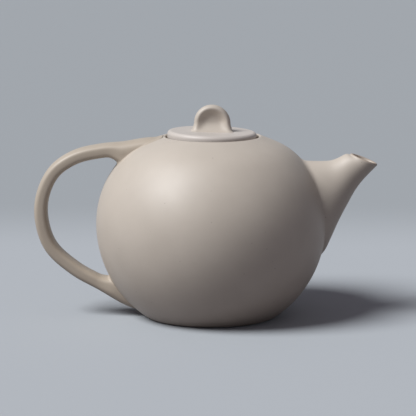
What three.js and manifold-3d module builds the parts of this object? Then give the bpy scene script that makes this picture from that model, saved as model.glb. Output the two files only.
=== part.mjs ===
// A stoneware teapot: a round pot with a spout, a pierced strainer and a loop handle,
// and a lid with a thumb-pressed tab that lifts off and turns in its seat.
// Millimetres, +Z up. The spout points along +X and the handle along -X. The origin is on the table,
// under the middle of the whole length, so the pot's own axis lies a little towards the spout.
import * as THREE from "three";
import { mergeVertices } from "three/addons/utils/BufferGeometryUtils.js";
import Module from "manifold-3d";

// Driving dimensions
const BELLY_RADIUS = 80;
const BELLY_HEIGHT = 65; // the widest ring, above the table
const LOWER_ARC = 78.5; // outline below the widest ring
const SHOULDER_ARC = 66.5; // outline above it
const WALL = 4.5;
const SLIP_GAP = 0.3; // between pieces that are luted together or rest on each other
const AROUND = 56; // steps round the pot
const LOWER_STEPS = 10; // steps along each arc of its outline
const SHOULDER_STEPS = 9;
const INSIDE_STEPS = 7;
const EDGE_STEPS = 3;
const MERGE = 1e-3; // corners closer than this are one
const STONEWARE = { color: 0xbcb2a7, roughness: 0.62, metalness: 0 };
const BARE_CLAY = { color: 0xa39686, roughness: 0.9, metalness: 0 };

// Foot
const FOOT_RADIUS = 42.5;
const FOOT_WIDTH = 5.5;
const FOOT_EDGE = 1.2;
const BASE_EDGE_HEIGHT = 0.6; // the pot's lowest edge clears the table by this
const BASE_UNDERSIDE = 4;
const BASE_EDGE_RADIUS = 45.8;
const FLOOR_HEIGHT = 9; // inside the pot
const FLOOR_SWEEP = 11; // how wide the floor's rise to the wall is
const FLOOR_RADIUS = 41; // of the disc in the middle of the base
const BASE_TOP = 18; // the joints between the rings that the wall is built of
const BELLY_TOP = 108;

// Mouth and lid seat
const MOUTH_RADIUS = 32.4;
const MOUTH_OFFSET = 0.9; // from the pot's axis towards the spout; the seat and the lid share it
const MOUTH_SHIFT_WIDTH = 8; // round the mouth, where the offset fades out
const BEND_START_RADIUS = 56; // where the shoulder's arc goes over into the bend's
const BEND_ARC = 20;
const BEND_END = THREE.MathUtils.degToRad(64); // how far up the outline faces where the bend ends
const TOP_ARC = 150; // the outline from the bend in to the mouth
const TOP_STEPS = 3;
const MOUTH_EDGE = 1.2;
const COLLAR_UNDERSIDE = 118.4;
const SEAT_HOLE_RADIUS = 25.8;
const SEAT_THICKNESS = 4.6;
const SEAT_HEIGHT = 124; // the ledge that the lid rests on
const SEAT_EDGE = 0.5;

// Lid
const LID_RADIUS = 31;
const LID_THICKNESS = 5.5;
const LID_TOP_EDGE = 2.6;
const LID_BOTTOM_EDGE = 1.3;
const FLANGE_RADIUS = 24.6;
const FLANGE_WALL = 3.2;
const FLANGE_DEPTH = 11.4;
const FLANGE_EDGE = 0.8;
const VENT_RADIUS = 1.8;
const VENT_BEHIND = 14; // behind the knob, from the lid's centre
const KNOB_HEIGHT = 17.9;
const KNOB_ARCH_RADIUS = 12.6;
const KNOB_ARCH_STEPS = 20;
const KNOB_FOOT_HALF_WIDTH = 13.9;
const KNOB_THICKNESS = 9.6;
const KNOB_EDGE = 2.6;
const THUMB_PRESS_DEPTH = 2.5;
const THUMB_PRESS_RIM = 2.6; // left round the press
const THUMB_PRESS_BALL = 5.5; // how round its bottom is, front to back

// Strainer
const STRAINER_HALF_WIDTH = 12;
const STRAINER_HALF_HEIGHT = 20;
const STRAINER_HEIGHT = 77;
const STRAINER_HOLE_RADIUS = 1.6;
const STRAINER_ROW_PITCH = 4.5;
const STRAINER_HOLE_PITCH = 5.2;
const STRAINER_EDGE = 2.9; // from a hole's centre to the edge

// Spout
const SPOUT_ROOT_HALF_WIDTH = 21;
const SPOUT_TIP_HALF_WIDTH = 8.8;
const SPOUT_TAPER = 1.35;
const SPOUT_SQUARENESS = 2; // 2 is an ellipse
const SPOUT_STEPS = 16;
const SPOUT_SIDES = 24;
const SPOUT_ROOT_WALL = 3.8;
const SPOUT_TIP_WALL = 2.6;
// The outline from the pot to the lip, above and below, in pairs
const SPOUT_TOP = outline([52, 110], [65, 108.8], [75, 108.5], [82.5, 108.8], [88, 110.6], [93, 113.2], [97, 114]);
const SPOUT_UNDER = outline([62, 30], [77.5, 43], [83.6, 54.4], [88.6, 65.8], [95, 78.4], [102.7, 91.8], [115.7, 106.6]);

// Handle
const HANDLE_LOWER_THICKNESS = 8.8;
const HANDLE_UPPER_THICKNESS = 9.8;
const HANDLE_HALF_WIDTH = 9;
const HANDLE_SQUARENESS = 2.3;
const HANDLE_STEPS = 44;
const HANDLE_SIDES = 20;
const HANDLE_FILLET = 7; // how far off the pot the roots start to spread
const HANDLE_FILLET_GAIN = 0.3; // the underside thickens by this times the square of the rest of the way
const HANDLE_ROOT_WIDENING = 2.2;
// The middle of the handle, from its lower root round to its upper one
const HANDLE_LINE = outline(
  [-42, 8.2],
  [-56, 10.3],
  [-77, 22.5],
  [-95.4, 33],
  [-113, 50.2],
  [-118.6, 76],
  [-110.8, 98.9],
  [-95, 111.1],
  [-76, 115.8],
  [-60, 117.3],
  [-46, 119.7],
  [-37, 119.7],
  [-28, 116],
);

const wasm = await Module();
wasm.setup();

function outline(...points) {
  return new THREE.SplineCurve(points.map(([x, z]) => new THREE.Vector2(x, z)));
}

// Points on an arc, by its centre, radius and angles in radians
function arc(centre, radius, from, to, steps) {
  return Array.from({ length: steps + 1 }, (_, i) => {
    const angle = from + ((to - from) * i) / steps;
    return new THREE.Vector2(centre.x + radius * Math.cos(angle), centre.y + radius * Math.sin(angle));
  });
}

// A closed mesh as a solid that can be cut and joined
function solid(geometry) {
  const plain = geometry.index ? geometry.toNonIndexed() : geometry.clone();
  plain.deleteAttribute("normal");
  plain.deleteAttribute("uv");
  const merged = mergeVertices(plain, MERGE);
  return new wasm.Manifold(
    new wasm.Mesh({
      numProp: 3,
      vertProperties: merged.attributes.position.array,
      triVerts: new Uint32Array(merged.index.array),
    }),
  );
}

function geometryOf(shape) {
  const { vertProperties, triVerts } = shape.getMesh();
  const geometry = new THREE.BufferGeometry();
  geometry.setAttribute("position", new THREE.BufferAttribute(vertProperties, 3));
  geometry.setIndex(new THREE.BufferAttribute(triVerts, 1));
  geometry.computeVertexNormals();
  return geometry;
}

// A piece turned on the wheel: the profile's points are (radius, height)
function turned(profile) {
  return solid(new THREE.LatheGeometry(profile, AROUND).rotateX(Math.PI / 2));
}

// A ring with its four edges rounded, each in a number of steps
function turnedRing({ inner, outer, bottom, top, edge, edgeSteps }) {
  const quarter = Math.PI / 2;
  const corner = (r, z, from) => arc(new THREE.Vector2(r, z), edge, from, from + quarter, edgeSteps);
  const profile = [
    ...corner(outer - edge, bottom + edge, -quarter),
    ...corner(outer - edge, top - edge, 0),
    ...corner(inner + edge, top - edge, quarter),
    ...corner(inner + edge, bottom + edge, 2 * quarter),
  ];
  return turned([...profile, profile[0]]);
}

// The centre of the arc that carries another one on from an angle without a corner
function nextCentre(centre, radius, nextRadius, angle) {
  const back = radius - nextRadius;
  return new THREE.Vector2(centre.x + back * Math.cos(angle), centre.y + back * Math.sin(angle));
}

// The outline's arcs, from the two that meet at the widest ring to the one that ends at the mouth's edge
const LOWER_CENTRE = new THREE.Vector2(BELLY_RADIUS - LOWER_ARC, BELLY_HEIGHT);
const SHOULDER_CENTRE = new THREE.Vector2(BELLY_RADIUS - SHOULDER_ARC, BELLY_HEIGHT);
const SHOULDER_END = Math.acos((BEND_START_RADIUS - SHOULDER_CENTRE.x) / SHOULDER_ARC);
const BEND_CENTRE = nextCentre(SHOULDER_CENTRE, SHOULDER_ARC, BEND_ARC, SHOULDER_END);
const TOP_CENTRE = nextCentre(BEND_CENTRE, BEND_ARC, TOP_ARC, BEND_END);
const TOP_END = Math.acos((MOUTH_RADIUS + MOUTH_EDGE - TOP_CENTRE.x) / (TOP_ARC - MOUTH_EDGE));

// How far a point in the plane of the spout and handle stands off the pot
function standOff(point) {
  const above = point.y > BELLY_HEIGHT;
  const centre = above ? SHOULDER_CENTRE : LOWER_CENTRE;
  const away = Math.hypot(Math.abs(point.x) - centre.x, point.y - centre.y);
  return away - (above ? SHOULDER_ARC : LOWER_ARC);
}

// The pot's outer outline from the base edge to the mouth's edge, grown by an offset
function potOutline(offset = 0) {
  const start = Math.asin((2 * BASE_EDGE_HEIGHT - BELLY_HEIGHT) / LOWER_ARC);
  return [
    ...arc(LOWER_CENTRE, LOWER_ARC + offset, start, 0, LOWER_STEPS),
    ...arc(SHOULDER_CENTRE, SHOULDER_ARC + offset, 0, SHOULDER_END, SHOULDER_STEPS).slice(1),
    ...arc(BEND_CENTRE, BEND_ARC + offset, SHOULDER_END, BEND_END, EDGE_STEPS).slice(1),
    ...arc(TOP_CENTRE, TOP_ARC + offset, BEND_END, TOP_END, TOP_STEPS).slice(1),
  ];
}

// A form turned on the pot's axis, with its mouth moved over onto the mouth's own axis
function thrown(profile) {
  const geometry = new THREE.LatheGeometry(profile, AROUND).rotateX(Math.PI / 2);
  const place = geometry.attributes.position;
  for (let i = 0; i < place.count; i++) {
    const radius = Math.hypot(place.getX(i), place.getY(i));
    const near = 1 - THREE.MathUtils.smoothstep(radius, MOUTH_RADIUS, MOUTH_RADIUS + MOUTH_SHIFT_WIDTH);
    if (place.getZ(i) > BELLY_TOP) place.setX(i, place.getX(i) + MOUTH_OFFSET * near);
  }
  return solid(geometry);
}

function potWall() {
  const mouthEdge = nextCentre(TOP_CENTRE, TOP_ARC, MOUTH_EDGE, TOP_END);
  const collarAngle = Math.asin((COLLAR_UNDERSIDE - BELLY_HEIGHT) / (SHOULDER_ARC - WALL));
  const floorAngle = Math.asin((FLOOR_HEIGHT + WALL - BELLY_HEIGHT) / (LOWER_ARC - WALL));
  const floorEdge = arc(LOWER_CENTRE, LOWER_ARC - WALL, 0, floorAngle, INSIDE_STEPS).slice(1);
  const floorCorner = floorEdge[floorEdge.length - 1];
  return thrown([
    new THREE.Vector2(0, BASE_UNDERSIDE),
    new THREE.Vector2(FOOT_RADIUS + SLIP_GAP, BASE_UNDERSIDE),
    new THREE.Vector2(FOOT_RADIUS + SLIP_GAP, BASE_EDGE_HEIGHT),
    new THREE.Vector2(BASE_EDGE_RADIUS, BASE_EDGE_HEIGHT),
    ...potOutline(),
    ...arc(mouthEdge, MOUTH_EDGE, TOP_END, Math.PI, EDGE_STEPS).slice(1),
    new THREE.Vector2(MOUTH_RADIUS, COLLAR_UNDERSIDE),
    ...arc(SHOULDER_CENTRE, SHOULDER_ARC - WALL, collarAngle, 0, INSIDE_STEPS),
    ...floorEdge,
    new THREE.Vector2(floorCorner.x - WALL, FLOOR_HEIGHT + WALL / 3),
    new THREE.Vector2(floorCorner.x - FLOOR_SWEEP, FLOOR_HEIGHT),
    new THREE.Vector2(0, FLOOR_HEIGHT),
  ]);
}

// The pot as a filled block, grown by the slip gap: what the spout and handle are trimmed against
function potBlock() {
  const sides = potOutline(SLIP_GAP);
  return thrown([
    new THREE.Vector2(0, BASE_EDGE_HEIGHT - SLIP_GAP),
    new THREE.Vector2(BASE_EDGE_RADIUS, BASE_EDGE_HEIGHT - SLIP_GAP),
    ...sides,
    new THREE.Vector2(0, sides[sides.length - 1].y),
  ]);
}

// The part of a shape between two heights
function between(shape, low, high) {
  const slab = new THREE.BoxGeometry(4 * BELLY_RADIUS, 4 * BELLY_RADIUS, high - low);
  return shape.intersect(solid(slab.translate(0, 0, (low + high) / 2)));
}

// The middle of the pot, up to a radius, from under the foot to over the floor
function floorPlug(radius) {
  const plug = new THREE.CylinderGeometry(radius, radius, 4 * FLOOR_HEIGHT, AROUND);
  return solid(plug.rotateX(Math.PI / 2).rotateZ(Math.PI / 2));
}

// An oval bar along X through the spout's side of the pot
function strainerBar(grow) {
  const bar = new THREE.CylinderGeometry(1, 1, BELLY_RADIUS, 40);
  bar.scale(STRAINER_HALF_WIDTH + grow, 1, STRAINER_HALF_HEIGHT + grow).rotateZ(Math.PI / 2);
  return solid(bar.translate(BELLY_RADIUS, 0, STRAINER_HEIGHT));
}

function strainerHoles() {
  const reachAcross = STRAINER_HALF_WIDTH - STRAINER_EDGE;
  const reachUp = STRAINER_HALF_HEIGHT - STRAINER_EDGE;
  const rows = Math.floor(reachUp / STRAINER_ROW_PITCH);
  const holes = [];
  for (let row = -rows; row <= rows; row++) {
    const up = row * STRAINER_ROW_PITCH;
    const room = reachAcross * Math.sqrt(1 - (up / reachUp) ** 2);
    const shift = row % 2 ? STRAINER_HOLE_PITCH / 2 : 0;
    for (let across = shift - 2 * STRAINER_HOLE_PITCH; across <= room; across += STRAINER_HOLE_PITCH) {
      if (across < -room) continue;
      const drill = new THREE.CylinderGeometry(STRAINER_HOLE_RADIUS, STRAINER_HOLE_RADIUS, BELLY_RADIUS, 12);
      drill.rotateZ(Math.PI / 2).translate(BELLY_RADIUS, across, STRAINER_HEIGHT + up);
      holes.push(solid(drill));
    }
  }
  return wasm.Manifold.union(holes);
}

// A closed skin over rings of points, with flat ends
function skin(rings) {
  const count = rings[0].length;
  const positions = rings.flat().flatMap((p) => [p.x, p.y, p.z]);
  const index = [];
  for (let i = 0; i + 1 < rings.length; i++)
    for (let k = 0; k < count; k++) {
      const a = i * count + k;
      const b = i * count + ((k + 1) % count);
      index.push(a, a + count, b, b, a + count, b + count);
    }
  const last = (rings.length - 1) * count;
  for (let k = 1; k + 1 < count; k++) {
    index.push(0, k, k + 1);
    index.push(last, last + k + 1, last + k);
  }
  const geometry = new THREE.BufferGeometry();
  geometry.setAttribute("position", new THREE.BufferAttribute(new Float32Array(positions), 3));
  geometry.setIndex(index);
  return solid(geometry);
}

// A ring across the plane of the spout and handle, from one point of the outline to the other
function ovalRing(upper, under, halfWidth, squareness, steps) {
  const centre = upper.clone().add(under).multiplyScalar(0.5);
  const half = upper.clone().sub(centre);
  return Array.from({ length: steps }, (_, k) => {
    const angle = (2 * Math.PI * k) / steps;
    const bulge = (v) => Math.sign(v) * Math.abs(v) ** (2 / squareness);
    const along = bulge(Math.cos(angle));
    const across = bulge(Math.sin(angle));
    return new THREE.Vector3(centre.x + half.x * along, halfWidth * across, centre.y + half.y * along);
  });
}

// The spout's rings; inset is the share of the wall taken off, 0 for the outside and 1 for the channel
function spoutRings(inset) {
  const rings = [];
  for (let i = 0; i <= SPOUT_STEPS; i++) {
    const t = i / SPOUT_STEPS;
    const wall = inset * THREE.MathUtils.lerp(SPOUT_ROOT_WALL, SPOUT_TIP_WALL, t);
    const top = SPOUT_TOP.getPoint(t);
    const under = SPOUT_UNDER.getPoint(t);
    const inwards = under.clone().sub(top).setLength(wall);
    const widening = (SPOUT_ROOT_HALF_WIDTH - SPOUT_TIP_HALF_WIDTH) * (1 - t) ** SPOUT_TAPER;
    const halfWidth = SPOUT_TIP_HALF_WIDTH + widening - wall;
    rings.push(ovalRing(top.add(inwards), under.sub(inwards), halfWidth, SPOUT_SQUARENESS, SPOUT_SIDES));
  }
  return rings;
}

function spout(block) {
  const channel = spoutRings(1);
  const tip = channel[channel.length - 1];
  const across = SPOUT_UNDER.getPoint(1).sub(SPOUT_TOP.getPoint(1)).normalize();
  const out = new THREE.Vector3(-across.y, 0, across.x).multiplyScalar(SPOUT_ROOT_WALL);
  channel.push(tip.map((p) => p.clone().add(out)));
  return skin(spoutRings(0)).subtract(skin(channel)).subtract(block);
}

function handle(block) {
  const rings = [];
  for (let i = 0; i <= HANDLE_STEPS; i++) {
    const t = i / HANDLE_STEPS;
    const centre = HANDLE_LINE.getPoint(t);
    const tangent = HANDLE_LINE.getTangent(t);
    const outwards = new THREE.Vector2(-tangent.y, tangent.x);
    const half = THREE.MathUtils.lerp(HANDLE_LOWER_THICKNESS, HANDLE_UPPER_THICKNESS, t) / 2;
    const innerEdge = centre.clone().addScaledVector(outwards, -half);
    const near = Math.max(0, HANDLE_FILLET - Math.max(0, standOff(innerEdge)));
    innerEdge.addScaledVector(outwards, -HANDLE_FILLET_GAIN * near ** 2);
    const outerEdge = centre.clone().addScaledVector(outwards, half);
    const halfWidth = HANDLE_HALF_WIDTH + HANDLE_ROOT_WIDENING * (near / HANDLE_FILLET) ** 2;
    rings.push(ovalRing(outerEdge, innerEdge, halfWidth, HANDLE_SQUARENESS, HANDLE_SIDES));
  }
  return skin(rings).subtract(block);
}

function lidPlate() {
  const quarter = Math.PI / 2;
  const bottom = SEAT_HEIGHT + SLIP_GAP;
  const top = bottom + LID_THICKNESS;
  const plate = turned([
    new THREE.Vector2(0, bottom),
    ...arc(
      new THREE.Vector2(LID_RADIUS - LID_BOTTOM_EDGE, bottom + LID_BOTTOM_EDGE),
      LID_BOTTOM_EDGE,
      -quarter,
      0,
      EDGE_STEPS,
    ),
    ...arc(new THREE.Vector2(LID_RADIUS - LID_TOP_EDGE, top - LID_TOP_EDGE), LID_TOP_EDGE, 0, quarter, 5),
    new THREE.Vector2(0, top),
  ]);
  const vent = new THREE.CylinderGeometry(VENT_RADIUS, VENT_RADIUS, 3 * LID_THICKNESS, 16);
  return plate.subtract(solid(vent.rotateX(quarter).translate(0, VENT_BEHIND, top)));
}

// The tab's outline seen from the front: an arch on legs that spread, carried on below the lid's top
function knobShape() {
  const archCentre = new THREE.Vector2(0, KNOB_HEIGHT - KNOB_ARCH_RADIUS);
  const leg = [1, 0.5, 0].map((down) => {
    const spread = (KNOB_FOOT_HALF_WIDTH - KNOB_ARCH_RADIUS) * down ** 2;
    return new THREE.Vector2(KNOB_ARCH_RADIUS + spread, archCentre.y * (1 - down));
  });
  leg.unshift(new THREE.Vector2(KNOB_FOOT_HALF_WIDTH, -2 * KNOB_EDGE));
  const otherLeg = leg.map((p) => new THREE.Vector2(-p.x, p.y)).reverse();
  const arch = arc(archCentre, KNOB_ARCH_RADIUS, 0, Math.PI, KNOB_ARCH_STEPS).slice(1, -1);
  return new THREE.Shape([...leg, ...arch, ...otherLeg]);
}

function knob() {
  const bottom = SEAT_HEIGHT + SLIP_GAP + LID_THICKNESS + SLIP_GAP;
  const tab = new THREE.ExtrudeGeometry(knobShape(), {
    depth: KNOB_THICKNESS - 2 * KNOB_EDGE,
    bevelEnabled: true,
    bevelSize: KNOB_EDGE,
    bevelOffset: -KNOB_EDGE,
    bevelThickness: KNOB_EDGE,
    bevelSegments: 4,
  });
  tab.rotateX(Math.PI / 2).translate(0, KNOB_THICKNESS / 2 - KNOB_EDGE, bottom);
  const belowTheLidTop = new THREE.BoxGeometry(4 * KNOB_ARCH_RADIUS, 4 * KNOB_THICKNESS, KNOB_HEIGHT);
  belowTheLidTop.translate(0, 0, bottom - KNOB_HEIGHT / 2);
  const pressRadius = KNOB_ARCH_RADIUS - THUMB_PRESS_RIM;
  const presses = [-1, 1].map((side) =>
    solid(
      new THREE.SphereGeometry(1, 24, 16)
        .scale(pressRadius, THUMB_PRESS_BALL, pressRadius)
        .translate(
          0,
          side * (KNOB_THICKNESS / 2 + THUMB_PRESS_BALL - THUMB_PRESS_DEPTH),
          bottom + KNOB_HEIGHT - KNOB_ARCH_RADIUS,
        ),
    ),
  );
  return presses.reduce((shape, press) => shape.subtract(press), solid(tab).subtract(solid(belowTheLidTop)));
}

const teapot = new THREE.Group();

function addPiece(name, shape, finish) {
  const mesh = new THREE.Mesh(geometryOf(shape), new THREE.MeshStandardMaterial(finish));
  mesh.name = name;
  teapot.add(mesh);
}

function footRing() {
  return turnedRing({
    inner: FOOT_RADIUS - FOOT_WIDTH,
    outer: FOOT_RADIUS,
    bottom: 0,
    top: BASE_UNDERSIDE - SLIP_GAP,
    edge: FOOT_EDGE,
    edgeSteps: 2,
  });
}

function lidSeat() {
  return turnedRing({
    inner: SEAT_HOLE_RADIUS,
    outer: MOUTH_RADIUS - SLIP_GAP,
    bottom: SEAT_HEIGHT - SEAT_THICKNESS,
    top: SEAT_HEIGHT,
    edge: SEAT_EDGE,
    edgeSteps: 1,
  });
}

function lidFlange() {
  return turnedRing({
    inner: FLANGE_RADIUS - FLANGE_WALL,
    outer: FLANGE_RADIUS,
    bottom: SEAT_HEIGHT - FLANGE_DEPTH,
    top: SEAT_HEIGHT,
    edge: FLANGE_EDGE,
    edgeSteps: 2,
  });
}

// A piece that is turned or set on the mouth's own axis
function onTheMouth(shape) {
  return shape.translate([MOUTH_OFFSET, 0, 0]);
}

const wall = potWall();
const block = potBlock();
const halfGap = SLIP_GAP / 2;
const base = between(wall, 0, BASE_TOP - halfGap);
const belly = between(wall, BASE_TOP + halfGap, BELLY_TOP - halfGap);
addPiece("pot_floor", base.intersect(floorPlug(FLOOR_RADIUS)), STONEWARE);
addPiece("pot_base", base.subtract(floorPlug(FLOOR_RADIUS + SLIP_GAP)), STONEWARE);
addPiece("pot_belly", belly.subtract(strainerBar(SLIP_GAP)), STONEWARE);
addPiece("pot_shoulder", between(wall, BELLY_TOP + halfGap, 2 * BELLY_TOP), STONEWARE);
addPiece("foot_ring", footRing(), BARE_CLAY);
addPiece("lid_seat", onTheMouth(lidSeat()), BARE_CLAY);
addPiece("strainer", wall.intersect(strainerBar(0)).subtract(strainerHoles()), STONEWARE);
addPiece("spout", spout(block), STONEWARE);
addPiece("handle", handle(block), STONEWARE);
addPiece("lid_plate", onTheMouth(lidPlate()), STONEWARE);
addPiece("lid_flange", onTheMouth(lidFlange()), BARE_CLAY);
addPiece("lid_knob", onTheMouth(knob()), STONEWARE);

const reach = new THREE.Box3().setFromObject(teapot);
teapot.position.x = -(reach.min.x + reach.max.x) / 2;

export default teapot;
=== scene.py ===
import math

import bmesh
import bpy
import numpy as np
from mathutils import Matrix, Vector


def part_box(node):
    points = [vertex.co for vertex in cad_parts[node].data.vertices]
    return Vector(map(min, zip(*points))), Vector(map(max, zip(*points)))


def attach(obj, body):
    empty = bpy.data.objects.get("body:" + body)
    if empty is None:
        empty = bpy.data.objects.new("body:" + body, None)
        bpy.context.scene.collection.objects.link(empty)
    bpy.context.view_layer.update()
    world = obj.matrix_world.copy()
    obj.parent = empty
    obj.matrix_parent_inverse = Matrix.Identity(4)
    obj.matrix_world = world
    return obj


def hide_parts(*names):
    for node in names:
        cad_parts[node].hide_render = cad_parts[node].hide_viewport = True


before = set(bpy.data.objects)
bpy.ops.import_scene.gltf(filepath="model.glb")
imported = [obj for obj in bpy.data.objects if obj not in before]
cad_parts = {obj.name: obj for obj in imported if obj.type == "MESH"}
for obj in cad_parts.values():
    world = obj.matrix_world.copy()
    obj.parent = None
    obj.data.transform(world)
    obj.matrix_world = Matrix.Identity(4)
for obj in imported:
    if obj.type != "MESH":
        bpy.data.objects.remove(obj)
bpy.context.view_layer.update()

# The pot stands on its foot ring, and its axis is the ring's middle. Everything on the pot is placed from
# that axis, in millimetres, and set_down turns such points into metres in the frame.
MM = 0.001
ring_low, ring_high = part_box("foot_ring")
AXIS_X = (ring_low.x + ring_high.x) / 2


def set_down(points):
    placed = np.asarray(points, dtype=float) * MM
    placed[:, 0] += AXIS_X
    return placed


# The photograph's viewpoint: a long lens about a metre and a half in front of the pot, looking down a
# little on the lid, with the spout to the right.
CAMERA_PLACE = (-2.1, -1478, 318)
CAMERA_DOWN = 9.32  # degrees below level
CAMERA_LENS = 186
CAMERA_SENSOR = 36
CAMERA_NEAREST = 0.05  # metres

scene = bpy.context.scene
camera = bpy.data.objects.new("camera", bpy.data.cameras.new("camera"))
camera.location = set_down([CAMERA_PLACE])[0]
camera.rotation_euler = (math.radians(90 - CAMERA_DOWN), 0, 0)
camera.data.lens = CAMERA_LENS
camera.data.sensor_width = CAMERA_SENSOR
camera.data.clip_start = CAMERA_NEAREST
scene.collection.objects.link(camera)
scene.camera = camera
scene.view_settings.view_transform = "Standard"


# A wide pale floor, a little darker towards the back, and soft light: a broad lamp high on the left, a
# little in front of the pot, and the pale room round it. The floor throws less light back on the pot than
# its seen colour would, because the pot in the photo is darker underneath.
FLOOR_HALF = 8.0  # metres
FLOOR_COLOUR = (176, 182, 188)
FLOOR_BACK_COLOUR = (158, 164, 169)
FLOOR_BOUNCE_COLOUR = (116, 113, 116)  # what it throws back on the pot
FLOOR_FADE = (0.24, 0.5)  # how far behind the pot it darkens, in metres
FLOOR_ROUGHNESS = 0.8
FLOOR_SHINE = 0.2
ROOM_COLOUR = (222, 210, 222)
ROOM_STRENGTH = 0.18
ROOM_SEEN = (183, 188, 193)
KEY_DIRECTION = (-0.585, -0.3, 0.753)
KEY_SPREAD = 30  # how wide the lamp looks from the pot, in degrees
KEY_STRENGTH = 3.65


def linear(colour):
    """An sRGB colour written as 0 to 255, in the linear values that nodes take."""
    part = [c / 255 for c in colour]
    return [c / 12.92 if c <= 0.04045 else ((c + 0.055) / 1.055) ** 2.4 for c in part] + [1.0]


def new_material(name):
    material = bpy.data.materials.new(name)
    material.use_nodes = True
    return material, material.node_tree.nodes, material.node_tree.links


def link_mesh(name, points, faces, material):
    mesh = bpy.data.meshes.new(name)
    mesh.from_pydata([tuple(p) for p in points], [], faces)
    mesh.polygons.foreach_set("use_smooth", [True] * len(mesh.polygons))
    mesh.materials.append(material)
    piece = bpy.data.objects.new(name, mesh)
    scene.collection.objects.link(piece)
    return piece


def seen_directly(nodes, links):
    """One for what the camera and reflections see, and nothing for the light that is thrown back."""
    ray = nodes.new("ShaderNodeLightPath")
    either = nodes.new("ShaderNodeMath")
    either.operation = "MAXIMUM"
    links.new(ray.outputs["Is Camera Ray"], either.inputs[0])
    links.new(ray.outputs["Is Glossy Ray"], either.inputs[1])
    return either.outputs[0]


def mix_colour(nodes, links, factor, first, second):
    """Mixes two colours by a mask: first and second are sockets or sRGB colours."""
    node = nodes.new("ShaderNodeMix")
    node.data_type = "RGBA"
    links.new(factor, node.inputs[0])
    for slot, value in ((node.inputs[6], first), (node.inputs[7], second)):
        if isinstance(value, tuple):
            slot.default_value = linear(value)
        else:
            links.new(value, slot)
    return node.outputs[2]


def make_floor():
    points = [(x * FLOOR_HALF, y * FLOOR_HALF, 0) for x, y in ((-1, -1), (1, -1), (1, 1), (-1, 1))]
    material, nodes, links = new_material("floor paint")
    shader = nodes["Principled BSDF"]
    split = nodes.new("ShaderNodeSeparateXYZ")
    links.new(nodes.new("ShaderNodeTexCoord").outputs["Object"], split.inputs[0])
    fade = nodes.new("ShaderNodeMapRange")
    fade.interpolation_type = "SMOOTHSTEP"
    fade.inputs["From Min"].default_value, fade.inputs["From Max"].default_value = FLOOR_FADE
    links.new(split.outputs["Y"], fade.inputs["Value"])
    tone = mix_colour(nodes, links, fade.outputs["Result"], FLOOR_COLOUR, FLOOR_BACK_COLOUR)
    tone = mix_colour(nodes, links, seen_directly(nodes, links), FLOOR_BOUNCE_COLOUR, tone)
    links.new(tone, shader.inputs["Base Color"])
    shader.inputs["Roughness"].default_value = FLOOR_ROUGHNESS
    shader.inputs["Specular IOR Level"].default_value = FLOOR_SHINE
    return link_mesh("floor", points, [(0, 1, 2, 3)], material)


def make_key():
    lamp = bpy.data.lights.new("key", "SUN")
    lamp.angle = math.radians(KEY_SPREAD)
    lamp.energy = KEY_STRENGTH
    key = bpy.data.objects.new("key", lamp)
    key.rotation_mode = "QUATERNION"
    key.rotation_quaternion = Vector(KEY_DIRECTION).to_track_quat("Z", "Y")
    scene.collection.objects.link(key)


def make_room():
    """The room's light on the pot, and the plain grey that the camera and reflections see in its place."""
    world = bpy.data.worlds.new("room")
    world.use_nodes = True
    nodes, links = world.node_tree.nodes, world.node_tree.links
    light = nodes["Background"]
    light.inputs["Color"].default_value = linear(ROOM_COLOUR)
    light.inputs["Strength"].default_value = ROOM_STRENGTH
    seen = nodes.new("ShaderNodeBackground")
    seen.inputs["Color"].default_value = linear(ROOM_SEEN)
    mix = nodes.new("ShaderNodeMixShader")
    links.new(seen_directly(nodes, links), mix.inputs["Fac"])
    links.new(light.outputs[0], mix.inputs[1])
    links.new(seen.outputs[0], mix.inputs[2])
    links.new(mix.outputs[0], nodes["World Output"].inputs["Surface"])
    scene.world = world


make_floor()
make_key()
make_room()


# The glaze is a satin matte coat over the whole outside. On the handle it is painted darker and browner, as
# painted shade, and on the lid greyer and a little lighter, as a painted reflection of the pale room on its
# flat top.
# It is a little uneven in tone, carries a few fine iron specks from the clay, and breaks brown on the
# spout's lip.
GLAZE = (195, 186, 175)
GLAZE_POOLED = (185, 176, 165)
GLAZE_BREAK = (150, 124, 103)
SPECK = (120, 104, 90)
GLAZE_FINISH = {"roughness": 0.52, "shine": 0.7, "grain": 0.006, "contrast": 1.6, "reach": 0.07}
GLAZE_RINGS = 0.03  # the height of the wheel's rings, in millimetres as the grain's
ROUGHNESS_SWING = 0.03
PATCH = 0.028  # metres across a patch of one tone
SPECK_CELL = 0.0052  # metres from speck to speck, of which reach is the largest speck's share
SPECK_SHARPNESS = 40
RING_SCALE = 260
GRAIN_SCALE = 2600
EDGE_ATTRIBUTE = "glaze_break"


def effect_group(name, inputs, outputs):
    """A shader node group with named number inputs and outputs, and its group input and output nodes."""
    tree = bpy.data.node_groups.new(name, "ShaderNodeTree")
    for label, value in inputs.items():
        socket = tree.interface.new_socket(label, in_out="INPUT", socket_type="NodeSocketFloat")
        socket.default_value = value
    for label in outputs:
        tree.interface.new_socket(label, in_out="OUTPUT", socket_type="NodeSocketFloat")
    return tree, tree.nodes.new("NodeGroupInput"), tree.nodes.new("NodeGroupOutput")


def math_node(tree, operation, first, second, clamp=False):
    """A Math node: first and second are sockets or numbers."""
    node = tree.nodes.new("ShaderNodeMath")
    node.operation = operation
    node.use_clamp = clamp
    for slot, value in zip(node.inputs, (first, second)):
        if isinstance(value, (int, float)):
            slot.default_value = value
        else:
            tree.links.new(value, slot)
    return node.outputs[0]


def noise_node(tree, vector, scale, detail):
    node = tree.nodes.new("ShaderNodeTexNoise")
    tree.links.new(vector, node.inputs["Vector"])
    if isinstance(scale, (int, float)):
        node.inputs["Scale"].default_value = scale
    else:
        tree.links.new(scale, node.inputs["Scale"])
    node.inputs["Detail"].default_value = detail
    return node.outputs["Fac"]


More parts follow.
